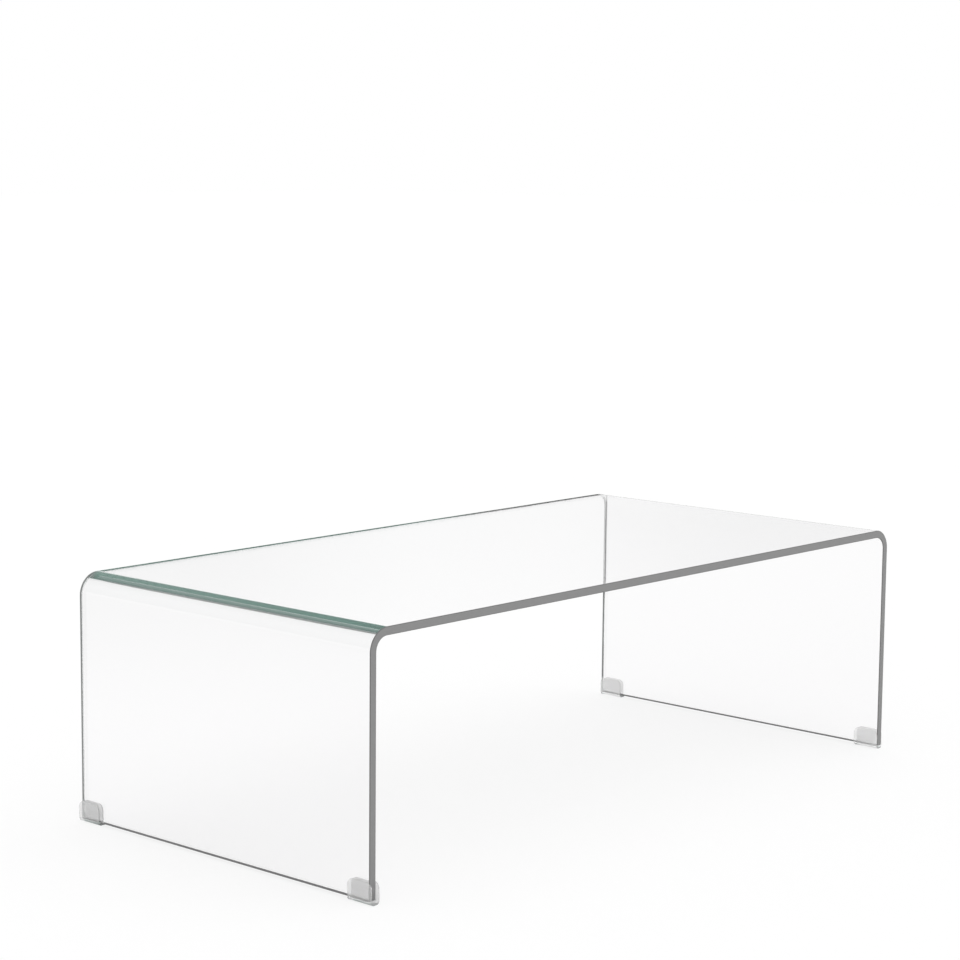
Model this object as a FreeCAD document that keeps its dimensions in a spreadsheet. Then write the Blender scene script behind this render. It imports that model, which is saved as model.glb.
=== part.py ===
"""Bent-glass waterfall table: one bent sheet of clear glass on four clear slip-on feet.

Row frame, in millimetres: +X along the length, +Y to the rear long side, +Z up.
The origin is on the floor, under the middle of the table.
"""
import FreeCAD, Part

import math
import os

import Sketcher

SIZES = {
    # The glass sheet.
    "sheet_length": 1200.0,  # outside of one leg to outside of the other
    "sheet_width": 590.0,
    "sheet_rise": 362.0,  # cut edge at the foot of a leg up to the top face
    "glass_thickness": 12.0,
    "bend_radius": 20.0,  # inside of the bend
    "corner_radius": 3.0,  # dubbed corners at the foot of each leg
    "arris": 1.0,  # ground bevel along every cut edge
    # The slip-on feet.
    "foot_length": 45.0,
    "foot_height": 31.0,  # floor to the lip of a flap
    "base_thickness": 4.5,  # floor to the glass
    "flap_thickness": 1.5,
    "grip_clearance": 0.1,  # between a flap and the face of the glass, each side
    "flap_corner_radius": 10.0,
    "base_edge_radius": 5.0,
    "rim_bevel": 0.5,  # softened outer edges of the flaps and the base
    # How far a foot's outer end stands past the cut side of the glass.
    "left_overhang": 5.0,
    "right_overhang": 0.0,
}

# An edge where the surface turns by more than this is a sharp one, in degrees.
SHARP_TURN = 45
# Slack for comparing places, in millimetres.
SLACK = 1e-6

# Each foot: which leg (-1 left, 1 right) and which side of the sheet (-1 front, 1 rear).
FEET = {
    "foot_front_left": (-1, -1),
    "foot_rear_left": (-1, 1),
    "foot_front_right": (1, -1),
    "foot_rear_right": (1, 1),
}


def size_sheet(doc):
    """Driving dimensions: one row each, name in A and value in B, with the name as the alias."""
    sheet = doc.addObject("Spreadsheet::Sheet", "Sizes")
    for row, (name, value) in enumerate(SIZES.items(), start=1):
        sheet.set(f"A{row}", name)
        sheet.set(f"B{row}", str(value))
        sheet.setAlias(f"B{row}", name)
    doc.recompute()
    return sheet


def profile_sketch(body, name):
    """An empty sketch on the body's XZ plane, so that sketch x is X and sketch y is Z."""
    plane = next(f for f in body.Origin.OriginFeatures if f.Role == "XZ_Plane")
    sketch = body.newObject("Sketcher::SketchObject", name)
    sketch.AttachmentSupport = [(plane, "")]
    sketch.MapMode = "FlatFace"
    return sketch


def arc(centre, radius, start, end):
    """Counter-clockwise arc in the sketch plane, angles in degrees."""
    circle = Part.Circle(FreeCAD.Vector(*centre, 0), FreeCAD.Vector(0, 0, 1), radius)
    return Part.ArcOfCircle(circle, math.radians(start), math.radians(end))


def line(start, end):
    """Straight edge in the sketch plane."""
    return Part.LineSegment(FreeCAD.Vector(*start, 0), FreeCAD.Vector(*end, 0))


def constrain(sketch, kind, *arguments):
    """Adds one geometric constraint."""
    sketch.addConstraint(Sketcher.Constraint(kind, *arguments))


def drive(sketch, kind, *arguments, by):
    """Adds one dimension and binds it to an expression on the size sheet."""
    value = float(sketch.evalExpression(by))
    index = sketch.addConstraint(Sketcher.Constraint(kind, *arguments, value))
    sketch.setExpression(f"Constraints[{index}]", by)


def symmetric_pad(body, sketch, name, length):
    """Pads the sketch by an expression, half to the front and half to the rear."""
    pad = body.newObject("PartDesign::Pad", name)
    pad.Profile = sketch
    pad.SideType = "Symmetric"
    pad.setExpression("Length", length)
    body.Document.recompute()
    return pad


def dress_up(body, kind, name, base, edges, sizes):
    """Fillet or chamfer on the named edges of the base feature; sizes maps property to expression."""
    feature = body.newObject(kind, name)
    feature.Base = (base, edges)
    for prop, expression in sizes.items():
        feature.setExpression(prop, expression)
    body.Document.recompute()
    return feature


def edges_where(shape, test):
    """Names of the edges for which test(edge) is true."""
    return [f"Edge{i}" for i, edge in enumerate(shape.Edges, start=1) if test(edge)]


def turn_across(shape, edge):
    """Angle in degrees between the outward normals of the two faces that meet at the middle of an edge."""
    middle = edge.valueAt((edge.FirstParameter + edge.LastParameter) / 2)
    normals = []
    for face in shape.ancestorsOfType(edge, Part.Face):
        normals.append(face.normalAt(*face.Surface.parameter(middle)))
    return math.degrees(normals[0].getAngle(normals[-1]))


def is_along_x(edge):
    """True for a straight edge that runs through the thickness of a leg or a flap."""
    start, end = edge.Vertexes[0].Point, edge.Vertexes[-1].Point
    across = FreeCAD.Vector(end.x - start.x, 0, 0)
    return (end - start - across).Length < SLACK


def bent_profile(sketch, sizes):
    """End view of the sheet: an upside-down U of one thickness, with both bends about shared centres.

    Lines and arcs run clockwise from the outer face of the left leg.
    """
    half = sizes.sheet_length / 2
    thick = sizes.glass_thickness
    inner = sizes.bend_radius
    outer = inner + thick
    low = sizes.base_thickness
    top = low + sizes.sheet_rise
    spring = top - outer  # where the legs end and the bends begin
    centre = half - outer
    sketch.addGeometry(
        [
            line((-half, low), (-half, spring)),  # 0 outer face, left leg
            arc((-centre, spring), outer, 90, 180),  # 1 outer left bend
            line((-centre, top), (centre, top)),  # 2 table top
            arc((centre, spring), outer, 0, 90),  # 3 outer right bend
            line((half, spring), (half, low)),  # 4 outer face, right leg
            line((half, low), (half - thick, low)),  # 5 cut edge, right leg
            line((half - thick, low), (half - thick, spring)),  # 6 inner face, right leg
            arc((centre, spring), inner, 0, 90),  # 7 inner right bend
            line((centre, top - thick), (-centre, top - thick)),  # 8 underside
            arc((-centre, spring), inner, 90, 180),  # 9 inner left bend
            line((thick - half, spring), (thick - half, low)),  # 10 inner face, left leg
            line((thick - half, low), (-half, low)),  # 11 cut edge, left leg
        ],
        False,
    )
    start, end, middle = 1, 2, 3
    origin, vertical_axis = -1, -2
    # Arcs run counter-clockwise, so an arc's end meets the line before it.
    for first, first_end, second, second_end in (
        (0, end, 1, end),
        (1, start, 2, start),
        (2, end, 3, end),
        (3, start, 4, start),
        (6, end, 7, start),
        (7, end, 8, start),
        (8, end, 9, start),
        (9, end, 10, start),
    ):
        constrain(sketch, "Tangent", first, first_end, second, second_end)
    for first, second in ((4, 5), (5, 6), (10, 11), (11, 0)):
        constrain(sketch, "Coincident", first, end, second, start)
    constrain(sketch, "Coincident", 1, middle, 9, middle)
    constrain(sketch, "Coincident", 3, middle, 7, middle)
    for upright in (0, 4, 6, 10):
        constrain(sketch, "Vertical", upright)
    for level in (2, 5, 8, 11):
        constrain(sketch, "Horizontal", level)
    constrain(sketch, "Equal", 7, 9)
    constrain(sketch, "Symmetric", 0, start, 4, end, vertical_axis)
    drive(sketch, "DistanceX", 0, start, 4, end, by="Sizes.sheet_length")
    drive(sketch, "DistanceX", 11, end, 11, start, by="Sizes.glass_thickness")
    drive(sketch, "DistanceY", origin, 1, 0, start, by="Sizes.base_thickness")
    drive(sketch, "DistanceY", 0, start, 2, start, by="Sizes.sheet_rise")
    drive(sketch, "Radius", 9, by="Sizes.bend_radius")


def glass_sheet(doc, sizes):
    """The sheet: profile padded to the width, dubbed leg corners, then a ground arris on every cut edge."""
    body = doc.addObject("PartDesign::Body", "glass_sheet")
    body.Label = "glass_sheet"
    sketch = profile_sketch(body, "bent_profile")
    bent_profile(sketch, sizes)
    pad = symmetric_pad(body, sketch, "bent_sheet", "Sizes.sheet_width")

    def at_leg_corner(edge):
        return is_along_x(edge) and edge.BoundBox.ZMax < sizes.base_thickness + SLACK

    corners = dress_up(
        body,
        "PartDesign::Fillet",
        "dubbed_corners",
        pad,
        edges_where(pad.Shape, at_leg_corner),
        {"Radius": "Sizes.corner_radius"},
    )
    shape = corners.Shape
    dress_up(
        body,
        "PartDesign::Chamfer",
        "ground_arris",
        corners,
        edges_where(shape, lambda edge: turn_across(shape, edge) > SHARP_TURN),
        {"Size": "Sizes.arris"},
    )
    return body


def channel_profile(sketch, sizes):
    """End view of a foot: a U-channel with a round-edged base, its slot open upwards.

    The foot's own origin is on the floor, in the middle of the slot. Clockwise from the left flap's outside.
    """
    slot = sizes.glass_thickness / 2 + sizes.grip_clearance
    side = slot + sizes.flap_thickness
    lip = sizes.foot_height
    base = sizes.base_thickness
    edge = sizes.base_edge_radius
    sketch.addGeometry(
        [
            line((-side, edge), (-side, lip)),  # 0 outside of the left flap
            line((-side, lip), (-slot, lip)),  # 1 left lip
            line((-slot, lip), (-slot, base)),  # 2 left side of the slot
            line((-slot, base), (slot, base)),  # 3 seat of the glass
            line((slot, base), (slot, lip)),  # 4 right side of the slot
            line((slot, lip), (side, lip)),  # 5 right lip
            line((side, lip), (side, edge)),  # 6 outside of the right flap
            arc((side - edge, edge), edge, 270, 360),  # 7 right edge of the base
            line((side - edge, 0), (edge - side, 0)),  # 8 underside
            arc((edge - side, edge), edge, 180, 270),  # 9 left edge of the base
        ],
        False,
    )
    start, end = 1, 2
    origin, horizontal_axis, vertical_axis = -1, -1, -2
    for first in range(6):
        constrain(sketch, "Coincident", first, end, first + 1, start)
    constrain(sketch, "Tangent", 6, end, 7, end)
    constrain(sketch, "Tangent", 7, start, 8, start)
    constrain(sketch, "Tangent", 8, end, 9, end)
    constrain(sketch, "Tangent", 9, start, 0, start)
    for upright in (0, 2, 4, 6):
        constrain(sketch, "Vertical", upright)
    for level in (1, 5):
        constrain(sketch, "Horizontal", level)
    constrain(sketch, "Equal", 7, 9)
    constrain(sketch, "Symmetric", 2, end, 3, end, vertical_axis)
    constrain(sketch, "Symmetric", 0, end, 5, end, vertical_axis)
    constrain(sketch, "PointOnObject", 8, start, horizontal_axis)
    constrain(sketch, "PointOnObject", 8, end, horizontal_axis)
    drive(
        sketch, "DistanceX", 3, start, 3, end,
        by="Sizes.glass_thickness + 2 * Sizes.grip_clearance",
    )
    drive(sketch, "DistanceX", 1, start, 1, end, by="Sizes.flap_thickness")
    drive(sketch, "DistanceY", origin, 1, 3, start, by="Sizes.base_thickness")
    drive(sketch, "DistanceY", origin, 1, 1, start, by="Sizes.foot_height")
    drive(sketch, "Radius", 9, by="Sizes.base_edge_radius")


def slip_on_foot(doc, sizes, label, leg, side):
    """One foot: channel padded to its length, round top corners on both flaps, then a bevelled rim."""
    body = doc.addObject("PartDesign::Body", label)
    body.Label = label
    sketch = profile_sketch(body, f"{label}_profile")
    channel_profile(sketch, sizes)
    pad = symmetric_pad(body, sketch, f"{label}_channel", "Sizes.foot_length")

    def at_flap_corner(edge):
        return is_along_x(edge) and edge.BoundBox.ZMin > sizes.foot_height - SLACK

    corners = dress_up(
        body,
        "PartDesign::Fillet",
        f"{label}_flap_corners",
        pad,
        edges_where(pad.Shape, at_flap_corner),
        {"Radius": "Sizes.flap_corner_radius"},
    )
    shape = corners.Shape
    inside = sizes.glass_thickness / 2 + sizes.grip_clearance

    def at_outer_rim(edge):
        box = edge.BoundBox
        in_slot = max(abs(box.XMin), abs(box.XMax)) < inside + SLACK and box.ZMin > SLACK
        return not in_slot and turn_across(shape, edge) > SHARP_TURN

    dress_up(
        body,
        "PartDesign::Chamfer",
        f"{label}_rim",
        corners,
        edges_where(shape, at_outer_rim),
        {"Size": "Sizes.rim_bevel"},
    )
    overhang = "Sizes.left_overhang" if leg < 0 else "Sizes.right_overhang"
    body.setExpression(
        "Placement.Base.x", f"{leg} * (Sizes.sheet_length - Sizes.glass_thickness) / 2"
    )
    body.setExpression(
        "Placement.Base.y",
        f"{side} * (Sizes.sheet_width / 2 + {overhang} - Sizes.foot_length / 2)",
    )
    return body


def check_document(doc, bodies):
    """Stops the run if any object failed to build or any piece is not one valid solid."""
    for item in doc.Objects:
        if "Invalid" in item.State or "Error" in item.State:
            raise RuntimeError(f"{item.Label} failed: {item.State}")
    for body in bodies:
        if body.Shape.isNull() or not body.Shape.isValid() or len(body.Shape.Solids) != 1:
            raise RuntimeError(f"{body.Label} is not one valid solid")


doc = FreeCAD.newDocument("waterfall_table")
sizes = size_sheet(doc)
pieces = [glass_sheet(doc, sizes)]
for foot_label, (foot_leg, foot_side) in FEET.items():
    pieces.append(slip_on_foot(doc, sizes, foot_label, foot_leg, foot_side))
doc.recompute()
check_document(doc, pieces)

os.makedirs("parts", exist_ok=True)
for piece in pieces:
    piece.Shape.exportStep(f"parts/{piece.Label}.step")
    extent = piece.Shape.BoundBox
    print(
        f"{piece.Label}: volume {piece.Shape.Volume / 1000:.2f} cm3, "
        f"x {extent.XMin:.2f}..{extent.XMax:.2f}, y {extent.YMin:.2f}..{extent.YMax:.2f}, "
        f"z {extent.ZMin:.2f}..{extent.ZMax:.2f}"
    )
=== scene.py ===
import math

import bmesh
import bpy
import numpy as np
from mathutils import Matrix, Vector


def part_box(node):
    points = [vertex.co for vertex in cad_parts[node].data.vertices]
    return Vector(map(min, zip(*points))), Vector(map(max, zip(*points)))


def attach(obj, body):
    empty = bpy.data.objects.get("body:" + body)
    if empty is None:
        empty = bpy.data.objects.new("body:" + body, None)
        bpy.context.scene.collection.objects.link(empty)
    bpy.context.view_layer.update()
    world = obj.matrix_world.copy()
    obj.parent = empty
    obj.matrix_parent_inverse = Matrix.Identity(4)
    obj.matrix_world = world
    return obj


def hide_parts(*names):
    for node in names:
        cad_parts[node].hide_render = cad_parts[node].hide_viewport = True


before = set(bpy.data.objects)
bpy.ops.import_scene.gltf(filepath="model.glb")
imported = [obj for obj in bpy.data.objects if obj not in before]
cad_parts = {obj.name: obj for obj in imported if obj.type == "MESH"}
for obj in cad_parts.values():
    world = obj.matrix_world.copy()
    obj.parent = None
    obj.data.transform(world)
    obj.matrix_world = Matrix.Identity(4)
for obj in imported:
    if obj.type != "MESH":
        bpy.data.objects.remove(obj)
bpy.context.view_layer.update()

# ---------------------------------------------------------------------------------------------
# The glass sheet
#
# One sheet of clear 12 mm glass. It is cut flat, its edges are ground satin with a bevel along
# each corner, and it is then heated and sagged over a form, so that both ends turn down into
# legs, and tempered. Nothing is fixed to it: it stands in its four feet by its own weight.
# ---------------------------------------------------------------------------------------------
GLASS_THICKNESS = 0.012
BEND_INSIDE = 0.020
LEG_CORNER = 0.003
ARRIS = 0.001

LEG_ROWS = 12
BEND_ROWS = 97
LEVEL_ROWS = 24
BEND_LEAD = 0.004  # from a bend to the first row on the level part
LEVEL_LEAD = 0.020  # from a bend to the even rows of the level part
SHEET_CORNER_STEPS = 8
SHEET_COLUMNS = 13
SMOOTH_BELOW = math.radians(30)
WELD = 1e-6


class Strip:
    """A flat strip turned through a right angle near both ends, seen from its side.

    Places along the strip are counted from its middle. The strip has two skins. Up to `flat` from the
    middle a skin runs level and reaches `reach`; over the next `quarter` it follows a quarter circle of
    its own radius; beyond that it runs straight on. `up` is 1 where the ends turn down, -1 where they
    turn up, and `fold` is the height of the circles' centres.
    """

    def __init__(self, flat, quarter, fold, up, inner, outer):
        self.flat = flat
        self.quarter = quarter
        self.fold = fold
        self.up = up
        self.skins = np.array([inner, outer])

    def skin(self, along, which):
        """Points (x, z) on skin 0 or 1: level run, radius times sine and cosine of the turn, and leg."""
        reach, radius = self.skins[which]
        away = np.abs(along)
        turn = np.clip((away - self.flat) / self.quarter, 0, 1) * math.pi / 2
        leg = np.maximum(away - self.flat - self.quarter, 0)
        out = reach * np.minimum(away / self.flat, 1) + radius * np.sin(turn)
        return np.stack([np.sign(along) * out, self.fold + self.up * (radius * np.cos(turn) - leg)], -1)

    def place(self, along, across, share, depth):
        """Points (x, y, z): `share` of the way from skin 0 to skin 1, and then `depth` further that way."""
        inner = self.skin(along, 0)
        step = self.skin(along, 1) - inner
        length = np.linalg.norm(step, axis=-1, keepdims=True)
        x, z = np.moveaxis(inner + step * (share + depth / length), -1, 0)
        return np.stack([x, across + 0 * x, z], -1)


def plate_patches(strip, half_length, half_width, corner, straight, corner_steps, columns, rim):
    """Grids of points that cover a plate with rounded corners, carried along a strip.

    The outline drawn in by d is a rectangle with corners of radius `corner` - d. Each grid is a pair of
    (points, chart), where chart holds metres along and across for a pattern to follow. `rim` lists the
    rows over the plate's edge, from skin 1 to skin 0, as (drawn in by, share, depth).
    """
    turn = np.linspace(0, math.pi / 2, corner_steps)
    bend_start = half_length - corner
    base = np.concatenate([np.full(corner_steps, -bend_start), straight, np.full(corner_steps, bend_start)])
    lean = np.concatenate([-np.cos(turn), 0 * straight, np.cos(turn[::-1])])
    spread = np.concatenate([np.sin(turn), 1 + 0 * straight, np.sin(turn[::-1])])
    fan = np.linspace(-1, 1, columns)

    def outline(drawn_in):
        radius = corner - drawn_in
        return base + lean * radius, half_width - corner + spread * radius

    patches = []
    for share, drawn_in in ((1, rim[0][0]), (0, rim[-1][0])):
        along, half = outline(drawn_in)
        along = along[:, None] + 0 * fan
        across = half[:, None] * fan
        patches.append((strip.place(along, across, share, 0), np.stack([along, across], -1)))

    rows, charts, climbed = [], [], 0.0
    for number, (drawn_in, share, depth) in enumerate(rim):
        along, half = outline(drawn_in)
        ends = fan[1:-1] * half[0]
        right_end, left_end = along[-1] + 0 * ends, along[0] + 0 * ends
        loop_along = np.concatenate([along, right_end, along[::-1], left_end, along[:1]])
        loop_across = np.concatenate([half, ends[::-1], -half[::-1], ends, half[:1]])
        points = strip.place(loop_along, loop_across, share, depth)
        if number:
            climbed += np.linalg.norm(points[0] - rows[-1][0])
        steps = np.hypot(np.diff(loop_along), np.diff(loop_across))
        travelled = np.concatenate([[0], np.cumsum(steps)])
        rows.append(points)
        charts.append(np.stack([travelled, climbed + 0 * travelled], -1))
    patches.append((np.stack(rows, 1), np.stack(charts, 1)))
    return patches


def closed_mesh(name, patches, zones):
    """One closed mesh from grids of points: their quads, with shared borders welded and normals outwards.

    zones gives each grid's number for the face attribute "zone", one number per column of quads.
    """
    points, charts, quads, marks = [], [], [], []
    first = 0
    for (grid, chart), zone in zip(patches, zones):
        rows, columns = grid.shape[:2]
        index = first + np.arange(rows * columns).reshape(rows, columns)
        quad = np.stack([index[:-1, :-1], index[1:, :-1], index[1:, 1:], index[:-1, 1:]], -1)
        first += rows * columns
        points.append(grid.reshape(-1, 3))
        charts.append(chart.reshape(-1, 2))
        quads.append(quad.reshape(-1, 4))
        marks.append((np.zeros((rows - 1, columns - 1)) + zone).ravel())
    quads = np.concatenate(quads)
    mesh = bpy.data.meshes.new(name)
    mesh.from_pydata(np.concatenate(points).tolist(), [], quads.tolist())
    chart_map = mesh.uv_layers.new(name="chart")
    chart_map.data.foreach_set("uv", np.concatenate(charts)[quads.ravel()].astype(np.float32).ravel())
    zone_map = mesh.attributes.new("zone", "FLOAT", "FACE")
    zone_map.data.foreach_set("value", np.concatenate(marks).astype(np.float32))
    surface = bmesh.new()
    surface.from_mesh(mesh)
    bmesh.ops.remove_doubles(surface, verts=surface.verts, dist=WELD)
    bmesh.ops.recalc_face_normals(surface, faces=surface.faces)
    surface.to_mesh(mesh)
    surface.free()
    mesh.shade_smooth()
    mesh.set_sharp_from_angle(angle=SMOOTH_BELOW)
    return mesh


class Link:
    """One socket of a node tree. Arithmetic on it adds Math nodes to the same tree."""

    def __init__(self, tree, socket=None):
        self.tree = tree
        self.socket = socket

    def node(self, kind, settings=None, inputs=None, output=0):
        """Adds a node: its settings first, then each input's value or link. Gives the named output."""
        made = self.tree.nodes.new(kind)
        for name, value in (settings or {}).items():
            setattr(made, name, value)
        for name, value in (inputs or {}).items():
            if isinstance(value, Link):
                self.tree.links.new(value.socket, made.inputs[name])
            else:
                made.inputs[name].default_value = value
        return Link(self.tree, made.outputs[output] if made.outputs else None)

    def math(self, operation, other, swapped=False):
        """One Math node on this value and another, the other one first if they are swapped."""
        pair = (other, self) if swapped else (self, other)
        return self.node("ShaderNodeMath", {"operation": operation}, {0: pair[0], 1: pair[1]})

    def __add__(self, other):
        return self.math("ADD", other)

    def __sub__(self, other):
        return self.math("SUBTRACT", other)

    def __rsub__(self, other):
        return self.math("SUBTRACT", other, swapped=True)

    def __mul__(self, other):
        return self.math("MULTIPLY", other)

    def __lt__(self, other):
        return self.math("LESS_THAN", other)

    def __abs__(self):
        return self.math("ABSOLUTE", 0.0)

    __radd__ = __add__
    __rmul__ = __mul__

    def ramp(self, low, high):
        """0 at the low value, 1 at the high value, a smooth step between them, and flat beyond them."""
        limits = {"Value": self, "From Min": low, "From Max": high}
        return self.node("ShaderNodeMapRange", {"interpolation_type": "SMOOTHSTEP"}, limits)

    def axis(self, letter):
        """One number, X, Y or Z, of a vector."""
        return self.node("ShaderNodeSeparateXYZ", {}, {"Vector": self}, output=letter)

    def grey(self):
        """The number as a grey colour."""
        return self.node("ShaderNodeCombineColor", {}, {0: self, 1: self, 2: self})


def blank_tree(owner):
    """The owner's node tree with nothing in it, as the start of a Link."""
    owner.use_nodes = True
    owner.node_tree.nodes.clear()
    return Link(owner.node_tree)


def mixed_shader(share, first, second):
    """The first shader where share is 0 and the second where it is 1."""
    return share.node("ShaderNodeMixShader", {}, {0: share, 1: first, 2: second})


CLEAR = (0.975, 0.970, 0.974, 1)
REFRACTION = 1.52
BODY_COLOUR = (0.0, 0.50, 0.42, 1)  # red is absorbed most, so a long look through the glass is green
BODY_DENSITY = 0.27
RIPPLE_SCALE = 4.0
RIPPLE_STRENGTH = 0.02
RIPPLE_HEIGHT = 0.001


def polished_glass(place):
    """Smooth glass with the faint ripple that rollers and heat leave: a slow noise as a very low bump."""
    ripple = place.node("ShaderNodeTexNoise", {}, {"Vector": place, "Scale": RIPPLE_SCALE, "Detail": 0.0})
    low_bump = {"Height": ripple, "Strength": RIPPLE_STRENGTH, "Distance": RIPPLE_HEIGHT}
    return place.node(
        "ShaderNodeBsdfPrincipled",
        {},
        {
            "Base Color": CLEAR,
            "Roughness": 0.0,
            "IOR": REFRACTION,
            "Transmission Weight": 1.0,
            "Normal": place.node("ShaderNodeBump", {}, low_bump),
        },
    )


GROUND_TONE = 0.205
GROUND_SPREAD = 0.025
# Painted shade: the share by which the grey of the bevels is darkened.
BEVEL_PAINTED_SHADE = 0.40
GROUND_ROUGHNESS = 0.55
GROUND_SHINE = 0.3
STROKES_PER_METRE = (30, 1800, 1)
SCRATCH_STRENGTH = 0.2
SCRATCH_DEPTH = 0.0002


def satin_edge(chart, bevel):
    """The ground edge from outside: grey, with painted shade darkening its bevels, and grinding strokes
    along the edge.

    The strokes are a noise on the chart, stretched 60 times along the edge.
    """
    strokes = chart.node("ShaderNodeMapping", {}, {"Vector": chart, "Scale": STROKES_PER_METRE})
    grinding = strokes.node("ShaderNodeTexNoise", {}, {"Vector": strokes, "Scale": 1.0, "Detail": 2.0})
    # The bevels get painted shade.
    tone = (GROUND_TONE + GROUND_SPREAD * grinding) * (1 - BEVEL_PAINTED_SHADE * bevel)
    marks = {"Height": grinding, "Strength": SCRATCH_STRENGTH, "Distance": SCRATCH_DEPTH}
    return chart.node(
        "ShaderNodeBsdfPrincipled",
        {},
        {
            "Base Color": tone.grey(),
            "Roughness": GROUND_ROUGHNESS,
            "Specular IOR Level": GROUND_SHINE,
            "Normal": chart.node("ShaderNodeBump", {}, marks),
        },
    )


# How much daylight the ground edge lets into the glass: red, green and blue. The level is set by
# place as painted light and shade: painted shade at the floor and high on the right leg, painted
# light inside a foot, and a painted green in the top's edge, grey in its right quarter.
GLOW_IN_PAINTED_SHADE_AT_FLOOR = (0.155, 0.155, 0.155, 1)
GLOW_ON_LEG = (0.305, 0.305, 0.305, 1)
PAINTED_SHADE_GLOW_HIGH_ON_RIGHT_LEG = (0.03, 0.03, 0.03, 1)
PAINTED_LIGHT_GLOW_IN_FOOT = (0.60, 0.60, 0.60, 1)
GLOW_TOP_LEFT = (0.30, 0.45, 0.40, 1)
GLOW_TOP_RIGHT = (0.30, 0.30, 0.30, 1)

# Where one finish runs over into another, from none to all of it, in metres. Along is counted from
# the table's middle to the right, across from its middle, height from the floor, and through the
# edge from the outer face of the glass.
RIGHT_HALF = (-0.1, 0.1)
LEG_ALONG = (0.568, 0.590)
PAST_LEFT_BEND = (-0.580, -0.560)
RIGHT_QUARTER_ALONG = (0.12, 0.30)
FOOT_ACROSS = (0.249, 0.255)
FOOT_BASE_HEIGHT = (0.008, 0.012)
FLAP_TOP_HEIGHT = (0.034, 0.028)
OFF_FLOOR_HEIGHT = (0.004, 0.050)
HIGH_ON_LEG = (0.17, 0.21)
LOW_ON_LEG = (0.21, 0.17)
TOP_HEIGHT = (0.348, 0.354)
CLEAR_BY_INNER_FACE = (0.0082, 0.0092)
CLEAR_BY_OUTER_FACE = (0.0037, 0.0022)


def edge_glow(place, chart, polished):
    """The ground edge from inside the glass: the daylight that it lets in, with painted light and shade by
    place.

    There is painted shade at the floor and more light up the legs, painted light inside a slip-on foot,
    and painted shade, next to no light, high on the right leg. The top's edge glows a painted green, and
    grey in its right quarter. Along each leg a narrow stripe of the edge is clear instead of ground:
    beside the inner face on the left leg, and beside the outer face low on the right leg.
    """
    along, across, height = (place.axis(letter) for letter in "XYZ")
    through = chart.axis("Y")
    right = along.ramp(*RIGHT_HALF)

    def let_in(colour):
        return place.node("ShaderNodeBsdfTranslucent", {}, {"Color": colour})

    # Painted shade at the floor: less glow low down.
    glow = mixed_shader(height.ramp(*OFF_FLOOR_HEIGHT), let_in(GLOW_IN_PAINTED_SHADE_AT_FLOOR), let_in(GLOW_ON_LEG))
    # Painted shade: next to no glow high on the right leg.
    glow = mixed_shader(right * height.ramp(*HIGH_ON_LEG), glow, let_in(PAINTED_SHADE_GLOW_HIGH_ON_RIGHT_LEG))
    # Painted light: more glow inside a foot.
    gripped = abs(across).ramp(*FOOT_ACROSS) * height.ramp(*FLAP_TOP_HEIGHT)
    glow = mixed_shader(gripped, glow, let_in(PAINTED_LIGHT_GLOW_IN_FOOT))

    on_leg = abs(along).ramp(*LEG_ALONG) * height.ramp(*FOOT_BASE_HEIGHT)
    clear_left = through.ramp(*CLEAR_BY_INNER_FACE)
    clear_right = through.ramp(*CLEAR_BY_OUTER_FACE) * height.ramp(*LOW_ON_LEG)
    clear = on_leg * (clear_left + right * (clear_right - clear_left))
    glow = mixed_shader(clear, glow, polished)

    # A painted green glow in the top's edge, grey in its right quarter.
    in_top = mixed_shader(along.ramp(*RIGHT_QUARTER_ALONG), let_in(GLOW_TOP_LEFT), let_in(GLOW_TOP_RIGHT))
    return mixed_shader(height.ramp(*TOP_HEIGHT) * along.ramp(*PAST_LEFT_BEND), glow, in_top)


def clear_glass():
    """The whole sheet: polished where zone is 0, ground where it is 1, ground and bevelled where it is 2."""
    material = bpy.data.materials.new("clear_glass")
    start = blank_tree(material)
    zone = start.node("ShaderNodeAttribute", {"attribute_name": "zone"}, output="Fac")
    ground = zone.math("MINIMUM", 1.0)
    chart = start.node("ShaderNodeUVMap", {"uv_map": "chart"})
    place = start.node("ShaderNodeTexCoord", output="Object")
    polished = polished_glass(place)
    inside = start.node("ShaderNodeNewGeometry", output="Backfacing")
    edge = mixed_shader(inside, satin_edge(chart, zone - ground), edge_glow(place, chart, polished))
    surface = mixed_shader(ground, polished, edge)
    body = start.node("ShaderNodeVolumeAbsorption", {}, {"Color": BODY_COLOUR, "Density": BODY_DENSITY})
    start.node("ShaderNodeOutputMaterial", {}, {"Surface": surface, "Volume": body})
    return material


def add_piece(name, mesh, material, node):
    """Shows the mesh as a piece of the object in place of its CAD node."""
    piece = bpy.data.objects.new(name, mesh)
    bpy.context.scene.collection.objects.link(piece)
    mesh.materials.append(material)
    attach(piece, "root")
    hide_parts(node)
    return piece


sheet_low, sheet_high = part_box("glass_sheet")
bend_outside = BEND_INSIDE + GLASS_THICKNESS
level_half = sheet_high.x - bend_outside
bend_length = math.pi / 2 * (BEND_INSIDE + GLASS_THICKNESS / 2)
fold_height = sheet_high.z - bend_outside
sheet_half_length = level_half + bend_length + fold_height - sheet_low.z
sheet_strip = Strip(
    level_half, bend_length, fold_height, 1, (level_half, BEND_INSIDE), (level_half, bend_outside)
)
leg_stations = np.linspace(sheet_half_length - LEG_CORNER, level_half + bend_length, LEG_ROWS)[1:-1]
bend_stations = np.linspace(level_half + bend_length, level_half, BEND_ROWS)
half_stations = np.concatenate([leg_stations, bend_stations, [level_half - BEND_LEAD]])
level_stations = np.linspace(-level_half + LEVEL_LEAD, level_half - LEVEL_LEAD, LEVEL_ROWS)
sheet_stations = np.concatenate([-half_stations, level_stations, half_stations[::-1]])
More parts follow.
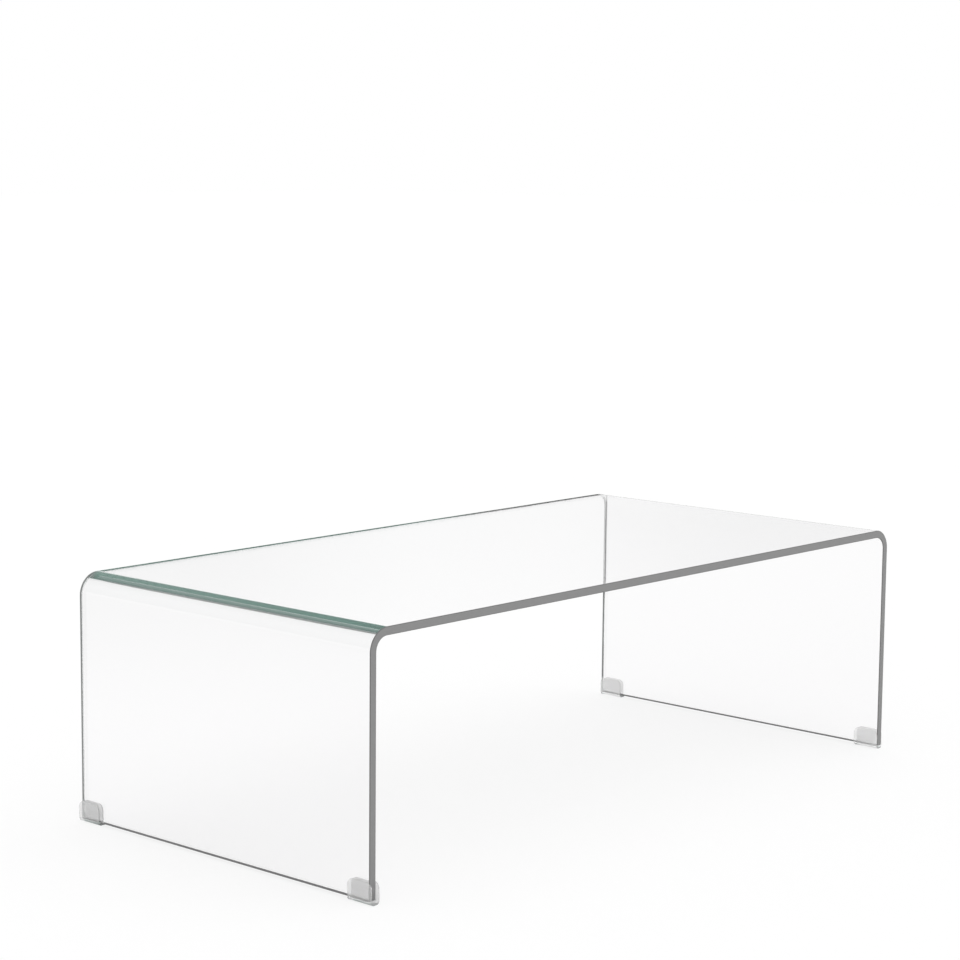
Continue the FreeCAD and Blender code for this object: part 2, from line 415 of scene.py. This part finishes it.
sheet_rim = [(ARRIS, 1, 0), (0, 1, -ARRIS), (0, 0, ARRIS), (ARRIS, 0, 0)]
sheet_patches = plate_patches(
    sheet_strip,
    sheet_half_length,
    sheet_high.y,
    LEG_CORNER,
    sheet_stations,
    SHEET_CORNER_STEPS,
    SHEET_COLUMNS,
    sheet_rim,
)
sheet_mesh = closed_mesh("glass_sheet_body", sheet_patches, (0, 0, [2, 1, 2]))
add_piece("bent_glass_sheet", sheet_mesh, clear_glass(), "glass_sheet")

# ---------------------------------------------------------------------------------------------
# The four slip-on feet
#
# Each is a clear soft plastic channel, moulded in one piece, that grips a corner of a leg: two
# thin flaps with round top corners and a thicker base under the cut edge of the glass. It is
# pushed on by hand and keeps the glass off the floor.
# ---------------------------------------------------------------------------------------------
FLAP_THICKNESS = 0.0015
FLAP_CORNER = 0.010
BASE_CORNER = 0.005
SLOT_CORNER = 0.0005
RIM_RADIUS = 0.0006

FLAP_ROWS = 8
TURN_ROWS = 13
RIM_ROWS = 6
FOOT_CORNER_STEPS = 14
FOOT_COLUMNS = 9
MID_BASE = 0.6  # how far out the one row between the base's middle and its turn lies

PLASTIC_TONE = 0.845
PLASTIC_SPREAD = 0.04
# Painted light: how much paler the right feet are made.
PAINTED_LIGHT_ON_RIGHT = 0.125
CLOUD_SCALE = 90.0


def clear_plastic():
    """Clear moulded plastic with a faint milky grey in it, slightly cloudy, with painted light making the
    right feet paler.
    """
    material = bpy.data.materials.new("clear_plastic")
    start = blank_tree(material)
    place = start.node("ShaderNodeTexCoord", output="Object")
    cloud = place.node("ShaderNodeTexNoise", {}, {"Vector": place, "Scale": CLOUD_SCALE, "Detail": 2.0})
    # The right feet get painted light.
    tone = PLASTIC_TONE + PLASTIC_SPREAD * cloud + PAINTED_LIGHT_ON_RIGHT * place.axis("X").ramp(*RIGHT_HALF)
    surface = start.node(
        "ShaderNodeBsdfPrincipled",
        {},
        {
            "Base Color": tone.grey(),
            "Roughness": 0.05,
            "IOR": 1.20,
            "Transmission Weight": 0.75,
        },
    )
    start.node("ShaderNodeOutputMaterial", {}, {"Surface": surface})
    return material


def foot_mesh(name, low, high):
    """One foot that fills the box from low to high: a plate with round corners, both ends turned up.

    The two ends are the flaps. The plate's inner skin turns with the slot's small corner and its outer
    skin with the base's large one. Its rim is half round: it draws in by the radius times 1 - sine, and
    sinks by the radius times 1 - cosine, over a quarter turn on each side.
    """
    middle = (low + high) / 2
    outer_half = (high.x - low.x) / 2
    slot_half = outer_half - FLAP_THICKNESS
    inner_skin = (slot_half - SLOT_CORNER, SLOT_CORNER)
    outer_skin = (outer_half - BASE_CORNER, BASE_CORNER)
    flat_half = (inner_skin[0] + outer_skin[0]) / 2
    turn_length = math.pi / 4 * (SLOT_CORNER + BASE_CORNER)
    half_length = flat_half + turn_length + high.z - BASE_CORNER
    flap = np.linspace(half_length - FLAP_CORNER, flat_half + turn_length, FLAP_ROWS)[1:-1]
    turn = np.linspace(flat_half + turn_length, flat_half, TURN_ROWS)
    half = np.concatenate([flap, turn, [MID_BASE * flat_half]])
    rounding = np.linspace(0, math.pi / 2, RIM_ROWS)
    outer_rim = [(RIM_RADIUS * (1 - math.sin(a)), 1, -RIM_RADIUS * (1 - math.cos(a))) for a in rounding]
    inner_rim = [(drawn_in, 0, -depth) for drawn_in, share, depth in outer_rim[::-1]]
    patches = plate_patches(
        Strip(flat_half, turn_length, BASE_CORNER, -1, inner_skin, outer_skin),
        half_length,
        (high.y - low.y) / 2,
        FLAP_CORNER,
        np.concatenate([-half, [0.0], half[::-1]]),
        FOOT_CORNER_STEPS,
        FOOT_COLUMNS,
        outer_rim + inner_rim,
    )
    shift = np.array([middle.x, middle.y, 0])
    return closed_mesh(name, [(grid + shift, chart) for grid, chart in patches], (0, 0, 0))


plastic = clear_plastic()
for foot in ("foot_front_left", "foot_rear_left", "foot_front_right", "foot_rear_right"):
    foot_body = foot_mesh(foot + "_body", *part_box(foot))
    add_piece(foot.replace("foot", "slip_on_foot"), foot_body, plastic, foot)

# ---------------------------------------------------------------------------------------------
# The stage
#
# A plain white floor under broad soft light, in a white room. What the table's polished faces and
# edges show of the rest of the room is painted reflection: a dim green ceiling, a rear wall with a
# thin dark seam and a thin dark post, and a floor that is dark far away.
# ---------------------------------------------------------------------------------------------
FLOOR_HALF = 30.0
FLOOR_DROP = 0.0002
FLOOR_WHITE = 0.90
FLOOR_SPREAD = 0.01
FLOOR_GRAIN_SCALE = 3.0
FLOOR_GLOW = 0.972
MATT_LEFT_OUT = 0.865
# Painted reflection: how dark the floor is made in a mirror, and where.
MIRROR_DARK_LEFT = 0.70
MIRROR_DARK_MORE_RIGHT = 0.25
DARKER_FROM_ALONG = (-0.6, -0.2)
PALE_FRONT_RIGHT = (0.3, 0.8)
DARK_FROM_DISTANCE = (1.2, 2.4)


def light_path(start):
    """Two shares: 1 for what is seen straight, in a mirror or through glass, and 1 for a mirror alone.

    Light on its way to a matt surface has 0 in both.
    """
    camera_ray, sharp, refracted, matt_bounces = (
        start.node("ShaderNodeLightPath", output=name)
        for name in ("Is Camera Ray", "Is Glossy Ray", "Is Transmission Ray", "Diffuse Depth")
    )
    direct = matt_bounces < 0.5
    mirrored = direct * sharp * (1 - refracted)
    return direct * camera_ray.math("MAXIMUM", sharp).math("MAXIMUM", refracted), mirrored


def floor_material():
    """Matt white, most of it shown at full white so that little more than the table's shadow is left.

    In a mirror the floor shows a painted reflection: it gets darker with the distance from the table, a
    bit more so from the left leg on to the right, but it stays white far to the front and right. This
    paints shade into what the glass legs reflect.
    """
    material = bpy.data.materials.new("white_floor")
    start = blank_tree(material)
    seen, mirrored = light_path(start)
    place = start.node("ShaderNodeTexCoord", output="Object")
    grain = place.node("ShaderNodeTexNoise", {}, {"Vector": place, "Scale": FLOOR_GRAIN_SCALE})
    white = (FLOOR_WHITE + FLOOR_SPREAD * grain).grey()
    matt = start.node("ShaderNodeBsdfDiffuse", {}, {"Color": white})
    distance = place.node("ShaderNodeVectorMath", {"operation": "LENGTH"}, {0: place}, output="Value")
    along = place.axis("X")
    across = place.axis("Y")
    # Painted reflection: the floor darkens only in a mirror.
    dark = MIRROR_DARK_LEFT + MIRROR_DARK_MORE_RIGHT * along.ramp(*DARKER_FROM_ALONG)
    dark = dark * (1 - (along - across).ramp(*PALE_FRONT_RIGHT)) * distance.ramp(*DARK_FROM_DISTANCE)
    bright = (1 - mirrored * dark).grey()
    glow = start.node("ShaderNodeEmission", {}, {"Color": bright, "Strength": FLOOR_GLOW})
    surface = mixed_shader(MATT_LEFT_OUT * seen, matt, glow)
    start.node("ShaderNodeOutputMaterial", {}, {"Surface": surface})
    return material


floor_mesh = bpy.data.meshes.new("floor")
floor_signs = ((-1, -1), (1, -1), (1, 1), (-1, 1))
floor_corners = [(x * FLOOR_HALF, y * FLOOR_HALF, -FLOOR_DROP) for x, y in floor_signs]
floor_mesh.from_pydata(floor_corners, [], [(0, 1, 2, 3)])
floor_mesh.materials.append(floor_material())
floor = bpy.data.objects.new("floor", floor_mesh)
bpy.context.scene.collection.objects.link(floor)

# Directions in the room are unit vectors: sideways to the right, depth to the rear, rise upwards.
# Two upright planes through the table are given by about the sine and cosine of their turn from
# sideways to depth. The seam's plane and the window's plane are tilted, and given by their slope.
CENTRE_SINE, CENTRE_COSINE = 0.67, 0.74
# Painted reflection: the post and the seam are dark lines put in the room for the glass to show.
POST_SINE, POST_COSINE = 0.6334, 0.7739
SEAM_SLOPE = 0.2229
LINE_HALF = 0.0003
SEAM_REACH = 0.18
POST_FOOT = (0.136, 0.138)
POST_HEAD = 0.178


def painted_dark_reflections(sideways, depth, rise):
    """Two masks of painted reflections: the seam, a thin dark line where rise is a fixed share of depth, and
    the thin upright post.
    """
    off_centre = abs(CENTRE_COSINE * depth - CENTRE_SINE * sideways)
    off_post = abs(POST_COSINE * depth - POST_SINE * sideways)
    seam = (abs(rise - SEAM_SLOPE * depth) < LINE_HALF) * (off_centre < SEAM_REACH)
    post = (off_post < LINE_HALF) * rise.ramp(*POST_FOOT) * (rise < POST_HEAD)
    return seam, post


# Painted reflection: tones of the walls as the glass mirrors them.
WALL_TONE = 0.93
WALL_PALER = 0.07
WALL_PALER_RISE = (0.14, 0.22)
ASIDE_DARKER = 0.12
ASIDE = (0.02, 0.12)
UPPER_DARKER = 0.65
UPPER_RISE = (0.22, 0.32)
SIDE_TONE = 0.60
SIDE_PALER = 0.35
SIDE_PALER_RISE = (0.0, 0.6)
SIDE_ENDS = (-0.15, 0.05)


def wall_in_mirror(sideways, depth, rise):
    """Painted reflection: how bright the walls are in a mirror. The side wall on the left runs over into the
    rear wall.

    The rear wall is nearly white up to a rise of about 0.2, a little darker off the centre plane, and
    about a third as bright above. The side wall brightens with the rise.
    """
    off_centre = abs(CENTRE_COSINE * depth - CENTRE_SINE * sideways)
    rear_wall = WALL_TONE + WALL_PALER * rise.ramp(*WALL_PALER_RISE)
    rear_wall = rear_wall * (1 - ASIDE_DARKER * off_centre.ramp(*ASIDE))
    rear_wall = rear_wall * (1 - UPPER_DARKER * rise.ramp(*UPPER_RISE))
    side_wall = SIDE_TONE + SIDE_PALER * rise.ramp(*SIDE_PALER_RISE)
    return side_wall + sideways.ramp(*SIDE_ENDS) * (rear_wall - side_wall)


CEILING_RISE = (0.200, 0.215)
LOW_CEILING_DEPTH = (0.64, 0.68)
LOW_CEILING_RISE = (0.06, 0.08)
GAP_START = (0.50, 0.54)
GAP_END = (0.67, 0.64)
WINDOW_SLOPE = 0.2744
WINDOW_EDGE = (-0.004, -0.001)


def ceiling_share(sideways, depth, rise, unseen):
    """1 where glass shows the ceiling, a painted green reflection, and 0 where it shows a white wall.

    The ceiling starts at a rise of 0.2. Far to the rear it comes down to 0.07, but not for the camera's
    own rays, and not in the window above the seam's plane and under the plane whose rise is a fixed
    share of sideways. Between a depth of 0.5 and 0.67 the ceiling has a gap.
    """
    above_seam = (rise - SEAM_SLOPE * depth).ramp(*WINDOW_EDGE)
    in_window = above_seam * (WINDOW_SLOPE * sideways - rise).ramp(*WINDOW_EDGE)
    low = unseen * depth.ramp(*LOW_CEILING_DEPTH) * rise.ramp(*LOW_CEILING_RISE) * (1 - in_window)
    gap = depth.ramp(*GAP_START) * depth.ramp(*GAP_END)
    return rise.ramp(*CEILING_RISE).math("MAXIMUM", low) * (1 - gap)


# Painted reflection: the ceiling's dim green, which the glass shows as a green band, dimmer higher up.
CEILING_GREEN = (0.160, 0.255, 0.225)
CEILING_DIMS_BY = 0.40
CEILING_DIMS_RISE = (0.50, 0.68)
# Painted reflection: how much the post darkens what the glass shows.
POST_DARK = 0.5
MIRRORED_WALLS_DEPTH = (0.2, 0.5)


def room_shader(sky):
    """The room by direction as painted reflection: ceiling or white wall through glass, and in a mirror the
    walls to the rear.
    """
    seen, mirrored = light_path(sky)
    toward = sky.node("ShaderNodeTexCoord", output="Object")
    sideways, depth, rise = (toward.axis(letter) for letter in "XYZ")
    seam, post = painted_dark_reflections(sideways, depth, rise)
    pale = 1 - POST_DARK * post
    walls = wall_in_mirror(sideways, depth, rise) * (1 - seam) * pale
    in_mirror = 1 - depth.ramp(*MIRRORED_WALLS_DEPTH) * (1 - walls)
    unseen = 1 - sky.node("ShaderNodeLightPath", output="Is Camera Ray")
    ceiling = ceiling_share(sideways, depth, rise, unseen)
    dimmed = 1 - CEILING_DIMS_BY * rise.ramp(*CEILING_DIMS_RISE)
    levels = []
    for level in CEILING_GREEN:
        through_glass = (1 + ceiling * (level * dimmed - 1)) * pale
        levels.append(through_glass + mirrored * (in_mirror - through_glass))
    room = sky.node("ShaderNodeCombineColor", {}, dict(enumerate(levels)))
    fill = sky.node("ShaderNodeBackground", {}, {"Color": (1, 1, 1, 1), "Strength": 1.0})
    shown = sky.node("ShaderNodeBackground", {}, {"Color": room, "Strength": 1.0})
    return mixed_shader(seen, fill, shown)


world = bpy.data.worlds.new("white_studio")
bpy.context.scene.world = world
sky = blank_tree(world)
sky.node("ShaderNodeOutputWorld", {}, {"Surface": room_shader(sky)})

LAMP_ENERGY = 1.1
LAMP_SPREAD = math.radians(70)
LAMP_LEAN = (math.radians(8), math.radians(12), 0)

overhead = bpy.data.lights.new("overhead", "SUN")
overhead.energy = LAMP_ENERGY
overhead.angle = LAMP_SPREAD
lamp = bpy.data.objects.new("overhead", overhead)
lamp.rotation_euler = LAMP_LEAN
lamp.visible_transmission = False
lamp.visible_glossy = False
bpy.context.scene.collection.objects.link(lamp)

# ---------------------------------------------------------------------------------------------
# The camera
#
# About a metre up and nearly four metres off the front left corner, with a long lens.
# ---------------------------------------------------------------------------------------------
CAMERA_PLACE = Vector((-2.8593, -2.5320, 0.9953))
CAMERA_HEADING = math.radians(42.21)
CAMERA_TILT = math.radians(-7.771)
CAMERA_ROLL = math.radians(0.5304)
LENS_MM = 94.39
SENSOR_MM = 36.0
FAR_END = 200.0
BOUNCES = 160  # light that enters the sheet by an edge is mirrored many times before it leaves

camera_data = bpy.data.cameras.new("camera")
camera_data.lens = LENS_MM
camera_data.sensor_width = SENSOR_MM
camera_data.clip_end = FAR_END
camera = bpy.data.objects.new("camera", camera_data)
turned = Matrix.Rotation(CAMERA_HEADING - math.pi / 2, 4, "Z")
tilted = Matrix.Rotation(CAMERA_TILT + math.pi / 2, 4, "X")
rolled = Matrix.Rotation(CAMERA_ROLL, 4, "Z")
camera.matrix_world = Matrix.Translation(CAMERA_PLACE) @ turned @ tilted @ rolled
bpy.context.scene.collection.objects.link(camera)
bpy.context.scene.camera = camera

scene = bpy.context.scene
scene.view_settings.view_transform = "Standard"
scene.cycles.max_bounces = BOUNCES
scene.cycles.glossy_bounces = BOUNCES
scene.cycles.transmission_bounces = BOUNCES
